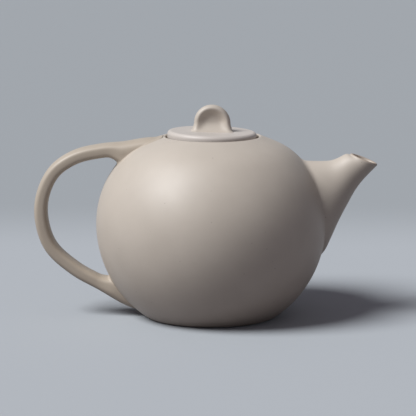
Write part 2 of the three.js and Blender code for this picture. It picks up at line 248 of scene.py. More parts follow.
def make_mottle():
    """Slow changes of tone: Patch is how wide a patch is, in metres."""
    tree, given, result = effect_group("kiln mottle", {"Patch": 0.03, "Contrast": 1.0}, ["Tone"])
    place = tree.nodes.new("ShaderNodeTexCoord").outputs["Object"]
    scale = math_node(tree, "DIVIDE", 1.0, given.outputs["Patch"])
    tone = noise_node(tree, place, scale, detail=4)
    centred = math_node(tree, "SUBTRACT", tone, 0.5)
    spread = math_node(tree, "MULTIPLY", centred, given.outputs["Contrast"])
    tree.links.new(math_node(tree, "ADD", spread, 0.5, clamp=True), result.inputs["Tone"])
    return tree


def make_specks():
    """Small round spots scattered one to a cell: Cell and Reach are the cell's and the spot's size."""
    tree, given, result = effect_group("clay specks", {"Cell": 0.005, "Reach": 0.1}, ["Mask"])
    place = tree.nodes.new("ShaderNodeTexCoord").outputs["Object"]
    cells = tree.nodes.new("ShaderNodeTexVoronoi")
    tree.links.new(place, cells.inputs["Vector"])
    tree.links.new(math_node(tree, "DIVIDE", 1.0, given.outputs["Cell"]), cells.inputs["Scale"])
    colour = tree.nodes.new("ShaderNodeSeparateColor")
    tree.links.new(cells.outputs["Color"], colour.inputs["Color"])
    reach = math_node(tree, "MULTIPLY", colour.outputs["Red"], given.outputs["Reach"])
    inside = math_node(tree, "SUBTRACT", reach, cells.outputs["Distance"])
    mask = math_node(tree, "MULTIPLY", inside, SPECK_SHARPNESS, clamp=True)
    tree.links.new(mask, result.inputs["Mask"])
    return tree


def make_hand_finish():
    """Height in millimetres: the wheel's faint rings and the fine grain of the fired surface."""
    tree, given, result = effect_group("hand finish", {"Rings": 0.02, "Grain": 0.01}, ["Height"])
    place = tree.nodes.new("ShaderNodeTexCoord").outputs["Object"]
    split = tree.nodes.new("ShaderNodeSeparateXYZ")
    tree.links.new(place, split.inputs[0])
    up = tree.nodes.new("ShaderNodeCombineXYZ")
    tree.links.new(split.outputs["Z"], up.inputs["Z"])
    rings = noise_node(tree, up.outputs[0], RING_SCALE, detail=2)
    grain = noise_node(tree, place, GRAIN_SCALE, detail=3)
    ring_height = math_node(tree, "MULTIPLY", rings, given.outputs["Rings"])
    grain_height = math_node(tree, "MULTIPLY", grain, given.outputs["Grain"])
    tree.links.new(math_node(tree, "ADD", ring_height, grain_height), result.inputs["Height"])
    return tree


mottle = make_mottle()
specks = make_specks()
hand_finish = make_hand_finish()


def use_group(nodes, tree, **values):
    node = nodes.new("ShaderNodeGroup")
    node.node_tree = tree
    for socket, value in values.items():
        node.inputs[socket].default_value = value
    return node


def fired_surface(name, tones, roughness, shine, grain, contrast, reach, rings=0.0):
    """A fired surface: two mottled tones, specks, a broken edge, and the bump of its grain and rings."""
    material, nodes, links = new_material(name)
    shader = nodes["Principled BSDF"]
    shader.inputs["Specular IOR Level"].default_value = shine
    tone = use_group(nodes, mottle, Patch=PATCH, Contrast=contrast).outputs["Tone"]
    colour = mix_colour(nodes, links, tone, *tones)
    spots = use_group(nodes, specks, Cell=SPECK_CELL, Reach=reach).outputs["Mask"]
    colour = mix_colour(nodes, links, spots, colour, SPECK)
    edge = nodes.new("ShaderNodeAttribute")
    edge.attribute_name = EDGE_ATTRIBUTE
    colour = mix_colour(nodes, links, edge.outputs["Fac"], colour, GLAZE_BREAK)
    links.new(colour, shader.inputs["Base Color"])
    spread = nodes.new("ShaderNodeMapRange")
    spread.inputs["To Min"].default_value = roughness - ROUGHNESS_SWING
    spread.inputs["To Max"].default_value = roughness + ROUGHNESS_SWING
    links.new(tone, spread.inputs["Value"])
    links.new(spread.outputs["Result"], shader.inputs["Roughness"])
    bump = nodes.new("ShaderNodeBump")
    bump.inputs["Distance"].default_value = MM
    height = use_group(nodes, hand_finish, Rings=rings, Grain=grain).outputs["Height"]
    links.new(height, bump.inputs["Height"])
    links.new(bump.outputs["Normal"], shader.inputs["Normal"])
    return material


thrown_glaze = fired_surface("thrown glaze", (GLAZE, GLAZE_POOLED), **GLAZE_FINISH, rings=GLAZE_RINGS)
pulled_glaze = fired_surface("pulled glaze", (GLAZE, GLAZE_POOLED), **GLAZE_FINISH)


# The pot is thrown in one round form, with a collar inside the mouth that takes the lid. Its outline is
# two arcs that meet at the widest ring, a tighter bend and a flatter run in to the mouth, which is a little
# off the middle.
BELLY_RADIUS = 80
BELLY_HEIGHT = 65
LOWER_ARC = 78.5
SHOULDER_ARC = 66.5
WALL = 4.5
BASE_EDGE_ROUND = 1.2
BASE_EDGE_HEIGHT = 0.6
BASE_UNDERSIDE = 4
FOOT_RADIUS = 42.5
FLOOR_HEIGHT = 9
FLOOR_SWEEP = ((1.8, 3), (4.5, 1.5), (8, 0.5), (12, 0))  # in from the belly's wall, and up from the floor
MIDDLE_RADIUS = 20  # a ring on the flat of the floor and of the underside
MOUTH_RADIUS = 32.4
MOUTH_OFFSET = 0.9
MOUTH_SHIFT_WIDTH = 8  # round the mouth, where the shift fades out
BEND_START_RADIUS = 62
BEND_ARC = 44
BEND_END = math.radians(64)  # how far up the outline faces where the bend ends
TOP_ARC = 110
MOUTH_EDGE = 1.2
COLLAR_UNDERSIDE = 118.4
STRAINER_HALF_WIDTH = 12
STRAINER_HALF_HEIGHT = 20
STRAINER_HEIGHT = 77
SLIP_GAP = 0.3
COLUMNS = 200
SHARP_ANGLE = math.radians(50)


def arc(centre, radius, start, end, steps):
    angle = np.linspace(start, end, steps + 1)
    return [(centre[0] + radius * math.cos(a), centre[1] + radius * math.sin(a)) for a in angle]


def face_outwards(mesh):
    shape = bmesh.new()
    shape.from_mesh(mesh)
    bmesh.ops.remove_doubles(shape, verts=shape.verts, dist=1e-7)
    bmesh.ops.recalc_face_normals(shape, faces=shape.faces)
    shape.to_mesh(mesh)
    shape.free()


def turned(name, profile, material, closed=False, columns=COLUMNS, middle=0.0):
    """A piece turned on the wheel. The profile holds (radius, height) and may start and end on the axis,
    which stands at the middle in X."""
    turn = np.linspace(0, 2 * math.pi, columns, endpoint=False)
    points, rings = [], []
    for radius, height in profile:
        count = columns if radius > 0 else 1
        rings.append([len(points) + i % count for i in range(columns)])
        points += [(middle + radius * math.cos(a), radius * math.sin(a), height) for a in turn[:count]]
    faces = []
    for low, high in zip(rings, rings[1:] + rings[:1] if closed else rings[1:]):
        for i in range(columns):
            j = (i + 1) % columns
            corners = dict.fromkeys((low[i], low[j], high[j], high[i]))
            faces.append(tuple(corners))
    piece = link_mesh(name, set_down(points), faces, material)
    face_outwards(piece.data)
    return piece


def next_centre(centre, radius, next_radius, angle):
    """The centre of the arc that carries another one on from an angle without a corner."""
    back = radius - next_radius
    return centre[0] + back * math.cos(angle), centre[1] + back * math.sin(angle)


# The outline's arcs, from the widest ring to the mouth's edge: their centres and the angles where they end
LOWER_CENTRE = (BELLY_RADIUS - LOWER_ARC, BELLY_HEIGHT)
SHOULDER_CENTRE = (BELLY_RADIUS - SHOULDER_ARC, BELLY_HEIGHT)
SHOULDER_END = math.acos((BEND_START_RADIUS - SHOULDER_CENTRE[0]) / SHOULDER_ARC)
BEND_CENTRE = next_centre(SHOULDER_CENTRE, SHOULDER_ARC, BEND_ARC, SHOULDER_END)
TOP_CENTRE = next_centre(BEND_CENTRE, BEND_ARC, TOP_ARC, BEND_END)
TOP_END = math.acos((MOUTH_RADIUS + MOUTH_EDGE - TOP_CENTRE[0]) / (TOP_ARC - MOUTH_EDGE))


def outside_outline():
    """From the slot round the foot ring, round the base's edge and up to the mouth's edge."""
    edge_height = BASE_EDGE_HEIGHT + BASE_EDGE_ROUND
    reach = math.sqrt((LOWER_ARC - BASE_EDGE_ROUND) ** 2 - (edge_height - BELLY_HEIGHT) ** 2)
    start = math.atan2(edge_height - BELLY_HEIGHT, reach)
    edge_centre = (LOWER_CENTRE[0] + reach, edge_height)
    base_edge = arc(edge_centre, BASE_EDGE_ROUND, -math.pi / 2, start, steps=5)
    below = arc(LOWER_CENTRE, LOWER_ARC, start, 0, steps=54)
    above = arc(SHOULDER_CENTRE, SHOULDER_ARC, 0, SHOULDER_END, steps=40)
    bend = arc(BEND_CENTRE, BEND_ARC, SHOULDER_END, BEND_END, steps=8)
    top = arc(TOP_CENTRE, TOP_ARC, BEND_END, TOP_END, steps=18)
    return base_edge + below[1:] + above[1:] + bend[1:] + top[1:]


def inside_outline():
    collar = math.asin((COLLAR_UNDERSIDE - BELLY_HEIGHT) / (SHOULDER_ARC - WALL))
    bottom = math.asin((FLOOR_HEIGHT + WALL - BELLY_HEIGHT) / (LOWER_ARC - WALL))
    shoulder = arc(SHOULDER_CENTRE, SHOULDER_ARC - WALL, collar, 0, steps=24)
    belly = arc(LOWER_CENTRE, LOWER_ARC - WALL, 0, bottom, steps=24)[1:]
    edge = belly[-1][0]
    sweep = [(edge - inwards, FLOOR_HEIGHT + up) for inwards, up in FLOOR_SWEEP]
    return shoulder + belly + sweep + [(MIDDLE_RADIUS, FLOOR_HEIGHT)]


def pot_profile():
    edge_centre = next_centre(TOP_CENTRE, TOP_ARC, MOUTH_EDGE, TOP_END)
    mouth_edge = arc(edge_centre, MOUTH_EDGE, TOP_END, math.pi, steps=6)[1:]
    slot_wall = FOOT_RADIUS + SLIP_GAP
    under = [(radius, BASE_UNDERSIDE) for radius in (0, MIDDLE_RADIUS, slot_wall)]
    under.append((slot_wall, BASE_EDGE_HEIGHT))
    collar = [(MOUTH_RADIUS, COLLAR_UNDERSIDE)]
    return under + outside_outline() + mouth_edge + collar + inside_outline() + [(0, FLOOR_HEIGHT)]


def smooth_step(value):
    value = np.clip(value, 0, 1)
    return value * value * (3 - 2 * value)


def shift_mouth(piece):
    """Moves the mouth's edge and the collar under it over to the mouth's own middle."""
    for vertex in piece.data.vertices:
        if vertex.co.z > (COLLAR_UNDERSIDE - WALL / 2) * MM:
            radius = math.hypot(vertex.co.x - AXIS_X, vertex.co.y) / MM
            far = float(smooth_step((radius - MOUTH_RADIUS) / MOUTH_SHIFT_WIDTH))
            vertex.co.x += MOUTH_OFFSET * MM * (1 - far)


def oval_bar(name, grow):
    """A bar along X through the spout's side of the pot, where the wall is cut for the strainer."""
    turn = np.linspace(0, 2 * math.pi, 64, endpoint=False)
    across = (STRAINER_HALF_WIDTH + grow) * np.cos(turn)
    up = STRAINER_HEIGHT + (STRAINER_HALF_HEIGHT + grow) * np.sin(turn)
    points = [(x, y, z) for x in (BELLY_RADIUS / 2, BELLY_RADIUS * 1.5) for y, z in zip(across, up)]
    count = len(turn)
    sides = [(i, (i + 1) % count, count + (i + 1) % count, count + i) for i in range(count)]
    ends = [tuple(range(count))[::-1], tuple(range(count, 2 * count))]
    bar = link_mesh(name, set_down(points), sides + ends, pulled_glaze)
    face_outwards(bar.data)
    return bar


def cut(piece, cutter, operation="DIFFERENCE"):
    """Cuts the piece by the cutter, which is then deleted."""
    boolean = piece.modifiers.new("cut", "BOOLEAN")
    boolean.operation = operation
    boolean.solver = "EXACT"
    boolean.object = cutter
    made_plain(piece)
    bpy.data.objects.remove(cutter)


def made_plain(piece):
    """Turns what the modifiers make into the piece's own mesh."""
    shape = piece.evaluated_get(bpy.context.evaluated_depsgraph_get())
    mesh = bpy.data.meshes.new_from_object(shape)
    piece.modifiers.clear()
    piece.data = mesh
    mesh.name = piece.name


pot = turned("pot", pot_profile(), thrown_glaze)
shift_mouth(pot)
cut(pot, oval_bar("strainer opening", SLIP_GAP))
pot.data.set_sharp_from_angle(angle=SHARP_ANGLE)
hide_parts("pot_floor", "pot_base", "pot_belly", "pot_shoulder")
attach(pot, "pot")


# The foot ring is turned, and luted on before firing. Like the lid's seat and flange, it is wiped clean of
# glaze, so the bare clay shows, browner and rougher than the coat.
BARE_CLAY = (168, 152, 134)
BARE_CLAY_DARK = (150, 134, 117)
CLAY_FINISH = {"roughness": 0.86, "shine": 0.4, "grain": 0.03, "contrast": 2.2, "reach": 0.16}
CLAY_RINGS = 0.05
FOOT_WIDTH = 5.5
FOOT_EDGE = 1.2

bare_clay = fired_surface("bare clay", (BARE_CLAY, BARE_CLAY_DARK), **CLAY_FINISH, rings=CLAY_RINGS)


def ring_profile(inner, outer, bottom, top, edge):
    """A ring's outline with its four edges rounded."""
    quarter = math.pi / 2
    corners = (
        (outer - edge, bottom + edge, -quarter),
        (outer - edge, top - edge, 0),
        (inner + edge, top - edge, quarter),
        (inner + edge, bottom + edge, 2 * quarter),
    )
    points = []
    for radius, height, start in corners:
        points += arc((radius, height), edge, start, start + quarter, steps=5)
    return points


foot = turned(
    "foot",
    ring_profile(FOOT_RADIUS - FOOT_WIDTH, FOOT_RADIUS, 0, BASE_UNDERSIDE - SLIP_GAP, FOOT_EDGE),
    bare_clay,
    closed=True,
)
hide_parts("foot_ring")
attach(foot, "pot")


# The seat is a flat turned ring, luted inside the mouth a little below its edge and centred with it. The
# lid rests on it.
SEAT_HOLE_RADIUS = 25.8
SEAT_THICKNESS = 4.6
SEAT_HEIGHT = 124
SEAT_EDGE = 0.5
seat_radius = MOUTH_RADIUS - SLIP_GAP / 3
seat_bottom = SEAT_HEIGHT - SEAT_THICKNESS

seat = turned(
    "seat",
    ring_profile(SEAT_HOLE_RADIUS, seat_radius, seat_bottom, SEAT_HEIGHT, SEAT_EDGE),
    bare_clay,
    closed=True,
    middle=MOUTH_OFFSET,
)
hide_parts("lid_seat")
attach(seat, "pot")


# The strainer is the piece of wall behind the spout, pierced with rows of holes while the clay was soft, so
# that leaves stay in the pot.
HOLE_RADIUS = 1.6
HOLE_SIDES = 28
HOLE_PITCH = 5.2
HOLE_COLUMNS = 9  # counted before the oval trims them, like the rows
HOLE_ROWS = 9
ROW_PITCH = 4.5
STRAINER_EDGE = 2.9
HOLE_SHARP_ANGLE = math.radians(40)

piercing = {
    "Hole Radius": HOLE_RADIUS * MM,
    "Hole Pitch": HOLE_PITCH * MM,
    "Row Pitch": ROW_PITCH * MM,
    "Reach Across": (STRAINER_HALF_WIDTH - STRAINER_EDGE) * MM,
    "Reach Up": (STRAINER_HALF_HEIGHT - STRAINER_EDGE) * MM,
    "Middle X": AXIS_X + BELLY_RADIUS * MM,
    "Middle Z": STRAINER_HEIGHT * MM,
}


def piercing_tree():
    """Pierces the mesh it is given with rows of round holes along X, kept inside an oval."""
    tree = bpy.data.node_groups.new("pierced rows", "GeometryNodeTree")
    tree.interface.new_socket("Clay", in_out="INPUT", socket_type="NodeSocketGeometry")
    for label in piercing:
        tree.interface.new_socket(label, in_out="INPUT", socket_type="NodeSocketFloat")
    tree.interface.new_socket("Pierced", in_out="OUTPUT", socket_type="NodeSocketGeometry")
    nodes, links = tree.nodes, tree.links
    given = nodes.new("NodeGroupInput").outputs
    grid = nodes.new("GeometryNodeMeshGrid")
    grid.inputs["Vertices X"].default_value = HOLE_COLUMNS
    grid.inputs["Vertices Y"].default_value = HOLE_ROWS
    links.new(math_node(tree, "MULTIPLY", given["Hole Pitch"], HOLE_COLUMNS - 1), grid.inputs["Size X"])
    links.new(math_node(tree, "MULTIPLY", given["Row Pitch"], HOLE_ROWS - 1), grid.inputs["Size Y"])
    place = nodes.new("ShaderNodeSeparateXYZ")
    links.new(nodes.new("GeometryNodeInputPosition").outputs[0], place.inputs[0])
    row = math_node(tree, "ROUND", math_node(tree, "DIVIDE", place.outputs["Y"], given["Row Pitch"]), 0.0)
    odd = math_node(tree, "FLOORED_MODULO", row, 2.0)
    shift = nodes.new("ShaderNodeCombineXYZ")
    half_pitch = math_node(tree, "MULTIPLY", given["Hole Pitch"], 0.5)
    links.new(math_node(tree, "MULTIPLY", odd, half_pitch), shift.inputs["X"])
    stagger = nodes.new("GeometryNodeSetPosition")
    links.new(grid.outputs["Mesh"], stagger.inputs["Geometry"])
    links.new(shift.outputs[0], stagger.inputs["Offset"])
    across = math_node(tree, "DIVIDE", place.outputs["X"], given["Reach Across"])
    up = math_node(tree, "DIVIDE", place.outputs["Y"], given["Reach Up"])
    across_squared = math_node(tree, "MULTIPLY", across, across)
    up_squared = math_node(tree, "MULTIPLY", up, up)
    outside = nodes.new("FunctionNodeCompare")
    outside.data_type = "FLOAT"
    outside.operation = "GREATER_THAN"
    links.new(math_node(tree, "ADD", across_squared, up_squared), outside.inputs["A"])
    outside.inputs["B"].default_value = 1.0
    trim = nodes.new("GeometryNodeDeleteGeometry")
    links.new(stagger.outputs[0], trim.inputs["Geometry"])
    links.new(outside.outputs[0], trim.inputs["Selection"])
    stand = nodes.new("GeometryNodeTransform")
    links.new(trim.outputs[0], stand.inputs["Geometry"])
    stand.inputs["Rotation"].default_value = (math.pi / 2, 0, math.pi / 2)
    middle = nodes.new("ShaderNodeCombineXYZ")
    links.new(given["Middle X"], middle.inputs["X"])
    links.new(given["Middle Z"], middle.inputs["Z"])
    links.new(middle.outputs[0], stand.inputs["Translation"])
    drill = nodes.new("GeometryNodeMeshCylinder")
    drill.inputs["Vertices"].default_value = HOLE_SIDES
    drill.inputs["Depth"].default_value = BELLY_RADIUS * MM / 2
    links.new(given["Hole Radius"], drill.inputs["Radius"])
    drills = nodes.new("GeometryNodeInstanceOnPoints")
    links.new(stand.outputs[0], drills.inputs["Points"])
    links.new(drill.outputs["Mesh"], drills.inputs["Instance"])
    drills.inputs["Rotation"].default_value = (0, math.pi / 2, 0)
    real = nodes.new("GeometryNodeRealizeInstances")
    links.new(drills.outputs[0], real.inputs[0])
    pierce = nodes.new("GeometryNodeMeshBoolean")
    pierce.operation = "DIFFERENCE"
    links.new(given["Clay"], pierce.inputs["Mesh 1"])
    links.new(real.outputs[0], pierce.inputs["Mesh 2"])
    coat = nodes.new("GeometryNodeSetMaterial")
    coat.inputs["Material"].default_value = pulled_glaze
    links.new(pierce.outputs["Mesh"], coat.inputs["Geometry"])
    result = nodes.new("NodeGroupOutput")
    links.new(coat.outputs[0], result.inputs[0])
    return tree


def use_tree(piece, tree, values):
    """Adds the tree as a modifier with its inputs set by name, and keeps what it makes."""
    modifier = piece.modifiers.new(tree.name, "NODES")
    modifier.node_group = tree
    for item in tree.interface.items_tree:
        if item.item_type == "SOCKET" and item.in_out == "INPUT" and item.name in values:
            modifier[item.identifier] = values[item.name]
    made_plain(piece)


def strainer_blank():
    """The pot's wall again, all round, which the oval bar trims to the blank."""
    bottom, top = -0.3, 0.7  # the arcs' angles, past the oval's lower and upper ends
    outside = arc(LOWER_CENTRE, LOWER_ARC, bottom, 0, steps=8)
    outside += arc(SHOULDER_CENTRE, SHOULDER_ARC, 0, top, steps=16)[1:]
    inside = arc(SHOULDER_CENTRE, SHOULDER_ARC - WALL, top, 0, steps=16)
    inside += arc(LOWER_CENTRE, LOWER_ARC - WALL, 0, bottom, steps=8)[1:]
    return turned("strainer", outside + inside, pulled_glaze, closed=True)


strainer = strainer_blank()
cut(strainer, oval_bar("strainer outline", 0), "INTERSECT")
use_tree(strainer, piercing_tree(), piercing)
strainer.data.set_sharp_from_angle(angle=HOLE_SHARP_ANGLE)
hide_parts("strainer")
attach(strainer, "pot")


# The spout is formed by hand as a wide tapering tube, cut off at a slant and luted over the strainer. Slip
# is smoothed into the joint, so its root flares into the wall.
SPOUT_TOP = ((52, 110), (65, 108.8), (75, 108.5), (82.5, 108.8), (88, 110.6), (93, 113.2), (97, 114))
SPOUT_UNDER = ((62, 30), (77.5, 43), (83.6, 54.4), (88.6, 65.8), (95, 78.4), (102.7, 91.8), (115.7, 106.6))
SPOUT_ROOT_HALF_WIDTH = 21
SPOUT_TIP_HALF_WIDTH = 8.7
SPOUT_TAPER = 1.35
SPOUT_ROOT_WALL = 3.8
SPOUT_TIP_WALL = 2.4
SPOUT_FILLETS = {"side": 1.2, "above": 3.4, "under": 1.2}
SPOUT_RINGS = 46
CHANNEL_START = -0.5  # off the pot's outside
CHANNEL_RINGS = 24
LIP_BULGE = 0.85
LIP_RINGS = 11
LIP_SETTLE_START = 0.86  # of the way along the spout, where it starts to draw back for the round lip
LIP_SETTLE_LENGTH = 0.14
LIP_BREAK = 0.55  # how far the glaze turns brown on the lip
LIP_BREAK_WIDTH = 1.1  # how far below the lip the brown is gone
ALONG = 240  # samples of an outline
TUCK = 0.2  # how deep a flared root ends under the glaze
TUCK_RUN = 1.0  # how far out past its fillet that is
SIDE_END = 0.3  # how far a line faces up or down where its fillet starts to change
SIDE_FADE = 0.6


def outline(points, samples=ALONG, softening=50):
    """A smooth line through the points, evenly in steps from point to point, with its bends evened out."""
    given = np.array(points, dtype=float)
    padded = np.vstack([given[:1], given, given[-1:]])
    step = np.linspace(0, len(given) - 1, samples + 1)
    at = np.minimum(step.astype(int), len(given) - 2)
    t = (step - at)[:, None]
    p0, p1, p2, p3 = (padded[at + i] for i in range(4))
    v0, v1 = (p2 - p0) / 2, (p3 - p1) / 2
    line = (2 * p1 - 2 * p2 + v0 + v1) * t**3 + (3 * p2 - 3 * p1 - 2 * v0 - v1) * t**2 + v0 * t + p1
    for _ in range(softening):
        line[1:-1] = (line[:-2] + 2 * line[1:-1] + line[2:]) / 4
    return line


def unit(vectors):
    return vectors / np.linalg.norm(vectors, axis=-1, keepdims=True)


def pot_shape(points):
    """How far points stand off the pot's outside, and the outward direction there."""
    across = np.hypot(points[..., 0], points[..., 1])
    height = points[..., 2]
    out, up, radius = across - LOWER_CENTRE[0], height - LOWER_CENTRE[1], LOWER_ARC
    on_next, end = True, 0.0
    for centre, next_radius, next_end in (
        (SHOULDER_CENTRE, SHOULDER_ARC, SHOULDER_END),
        (BEND_CENTRE, BEND_ARC, BEND_END),
        (TOP_CENTRE, TOP_ARC, TOP_END),
    ):
        on_next = on_next & (np.arctan2(up, out) > end)
        out, up = np.where(on_next, across - centre[0], out), np.where(on_next, height - centre[1], up)
        radius, end = np.where(on_next, next_radius, radius), next_end
    reach = np.hypot(out, up)
    share = out / reach / across
    return reach - radius, np.stack([points[..., 0] * share, points[..., 1] * share, up / reach], axis=-1)


def on_pot(points, stand_off):
    gap, outwards = pot_shape(points)
    return points + outwards * (stand_off - gap)[..., None]


def cross_lines(lines, depth=0.0):
    """Cuts lines that start inside the pot at its surface. Each keeps its crossing and its points from
    there out."""
    gap = pot_shape(lines)[0] - depth
    kept = []
    for line, off in zip(lines, gap):
        first = int(np.argmax(off > 0))
        share = off[first - 1] / (off[first - 1] - off[first])
        crossing = line[first - 1] + share * (line[first] - line[first - 1])
        kept.append(np.vstack([crossing, line[first:]]))
    return kept


def along_line(line, distance):
    """The point that far along a line, measured from its start."""
    run = np.concatenate([[0], np.cumsum(np.linalg.norm(np.diff(line, axis=0), axis=1))])
    return np.array([np.interp(distance, run, line[:, i]) for i in range(3)])


def length(line):
    return float(np.linalg.norm(np.diff(line, axis=0), axis=1).sum())


def flared_root(lines, fillet, steps=10):
    """Rings that leave the pot's surface smoothly and join lines that stand out of it. The first ring is
    tucked under the surface, and the last is a fillet's length along the lines."""
    crossing = np.array([line[0] for line in lines])
    tangent = np.roll(crossing, -1, axis=0) - np.roll(crossing, 1, axis=0)
    outwards = pot_shape(crossing)[1]
    away = unit(np.cross(tangent, outwards))
    away *= np.sign(np.sum(away * (crossing - crossing.mean(axis=0))))
    rings = [on_pot(crossing + away * (fillet + TUCK_RUN)[:, None], np.full(len(lines), -TUCK))]
    for share in np.linspace(1, 0, steps + 1):
        flat = on_pot(crossing + away * (share * fillet)[:, None], np.zeros(len(lines)))
        tall = np.array([along_line(line, size * (1 - share)) for line, size in zip(lines, fillet)])
        rings.append(share * flat + (1 - share) * tall)
    return rings


def skin(name, rings, material, closed=False, caps=()):
    """A piece skinned over rings of as many points each, joined end to end or capped by two points."""
    count = len(rings[0])
    points = np.vstack([*rings, *[np.atleast_2d(c) for c in caps]])
    pairs = [(i, (i + 1) % len(rings)) for i in range(len(rings) if closed else len(rings) - 1)]
    faces = [
        (a * count + k, a * count + (k + 1) % count, b * count + (k + 1) % count, b * count + k)
        for a, b in pairs
        for k in range(count)
    ]
    for cap, ring in zip(range(len(caps)), (0, len(rings) - 1)):
        middle = len(rings) * count + cap
        faces += [(middle, ring * count + k, ring * count + (k + 1) % count) for k in range(count)]
    piece = link_mesh(name, set_down(points), faces, material)
    face_outwards(piece.data)
    return piece


def fillets(count, sizes):
    """The fillet of each line round a section that starts at its upper or outer side."""
    facing = np.cos(np.linspace(0, 2 * math.pi, count, endpoint=False))
    above = smooth_step((facing - SIDE_END) / SIDE_FADE)
    under = smooth_step((-facing - SIDE_END) / SIDE_FADE)
    return sizes["side"] * (1 - above - under) + sizes["above"] * above + sizes["under"] * under


def spout_lines(inset, sides=80):
    """Lines along the spout from inside the pot to the lip, one for each side of the tube."""
    share = np.linspace(0, 1, ALONG + 1)[:, None]
    wall = inset * (SPOUT_ROOT_WALL + (SPOUT_TIP_WALL - SPOUT_ROOT_WALL) * share)
    top, under = outline(SPOUT_TOP), outline(SPOUT_UNDER)
    inwards = unit(under - top) * wall
    top, under = top + inwards, under - inwards
    widening = (SPOUT_ROOT_HALF_WIDTH - SPOUT_TIP_HALF_WIDTH) * (1 - share) ** SPOUT_TAPER
    half_width = SPOUT_TIP_HALF_WIDTH + widening - wall
    middle, half = (top + under) / 2, (top - under) / 2
    lines = []
    for angle in np.linspace(0, 2 * math.pi, sides, endpoint=False):
        in_plane = middle + half * math.cos(angle)
        lines.append(np.column_stack([in_plane[:, 0], half_width * math.sin(angle), in_plane[:, 1]]))
    lines = np.array(lines)
    mouth = unit(np.array(SPOUT_UNDER[-1]) - np.array(SPOUT_TOP[-1]))
    out = np.array([-mouth[1], 0, mouth[0]])
    near_lip = smooth_step((share[:, 0] - LIP_SETTLE_START) / LIP_SETTLE_LENGTH)
    settle = near_lip * SPOUT_TIP_WALL / 2 * LIP_BULGE
    return lines - settle[None, :, None] * out, out


def make_spout():
    outer, out = spout_lines(0)
    inner, _ = spout_lines(1)
    outer_run = cross_lines(outer)
    inner_run = cross_lines(inner, CHANNEL_START)
    fillet = fillets(len(outer), SPOUT_FILLETS)
    rings = flared_root(outer_run, fillet)
    for share in np.linspace(0, 1, SPOUT_RINGS)[1:]:
        ring = []
        for line, size in zip(outer_run, fillet):
            ring.append(along_line(line, size + share * (length(line) - size)))
        rings.append(np.array(ring))
    outer_end, inner_end = outer[:, -1], inner[:, -1]
    middle, half = (outer_end + inner_end) / 2, (outer_end - inner_end) / 2
    reach = np.linalg.norm(half, axis=1, keepdims=True)
    for angle in np.linspace(0, math.pi, LIP_RINGS)[1:]:
        rings.append(middle + half * math.cos(angle) + LIP_BULGE * reach * math.sin(angle) * out)
    for share in np.linspace(1, 0, CHANNEL_RINGS)[1:]:
        rings.append(np.array([along_line(line, share * length(line)) for line in inner_run]))
    return skin("spout", rings, pulled_glaze, closed=True)


def mark_edge(piece, strength):
    """Stores how far the glaze turns brown at each point, by a function of the points in millimetres."""
    count = len(piece.data.vertices)
    flat = np.empty(count * 3)
    piece.data.vertices.foreach_get("co", flat)
    points = flat.reshape(count, 3) / MM
    points[:, 0] -= AXIS_X / MM
    layer = piece.data.attributes.new(EDGE_ATTRIBUTE, "FLOAT", "POINT")
    layer.data.foreach_set("value", np.clip(strength(points), 0, 1).astype(np.float32))


def spout_edge(points):
    """Brown on the lip, and less and less so below it."""
    _, out = spout_lines(1, sides=4)
    lip = np.array([SPOUT_TOP[-1][0], 0, SPOUT_TOP[-1][1]])
    below = -(points - lip) @ out
    return LIP_BREAK * (1 - smooth_step(below / LIP_BREAK_WIDTH))


spout = make_spout()
mark_edge(spout, spout_edge)
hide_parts("spout")
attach(spout, "pot")


# The handle is pulled from a lump of clay as a thick rounded strap, bent round and luted on at the shoulder
# and low on the belly. Its upper end is laid along the shoulder, up to the lid.
HANDLE_LINE = (
    (-42, 8.2),
    (-56, 10.3),
    (-77, 22.5),
    (-95.4, 33),
    (-113, 50.2),
    (-118.6, 76),
    (-110.8, 98.9),
    (-95, 111.1),
    (-76, 115.8),
    (-60, 117.3),
    (-46, 119.7),
    (-37, 119.7),
    (-28, 116),
)
HANDLE_LOWER_THICKNESS = 8.8
HANDLE_UPPER_THICKNESS = 9.8
HANDLE_HALF_WIDTH = 9
HANDLE_SQUARENESS = 3.4
HANDLE_LOWER_FILLETS = {"side": 1.2, "above": 2.2, "under": 3.0}
HANDLE_UPPER_FILLETS = {"side": 0.9, "above": 4.0, "under": 3.0}
ROOT_REACH = (7, 9)  # how far off the pot the lower and the upper root start to thicken on the inside
ROOT_GAIN = (0.14, 0.123)  # by this times the square of the rest of the way
ROOT_WIDENING = 1.6
CAP_DEPTH = 1.5  # how deep in the pot's wall the handle's ends are closed
HANDLE_SAMPLES = 400
HANDLE_RINGS = 130
# The handle's two tones are painted darker and browner than the pot's: painted shade, for the shade the
# handle lies in.
HANDLE_SHADED_GLAZE = (183, 172, 157)  # browner and darker than on the pot
HANDLE_SHADED_GLAZE_POOLED = (174, 162, 147)

# The handle's glaze, with its painted shade.
handle_shaded_glaze = fired_surface("handle glaze, painted shade", (HANDLE_SHADED_GLAZE, HANDLE_SHADED_GLAZE_POOLED), **GLAZE_FINISH)


def squarer(share):
    """A section's cosine or sine, moved out towards its corners."""
    return math.copysign(abs(share) ** (2 / HANDLE_SQUARENESS), share)


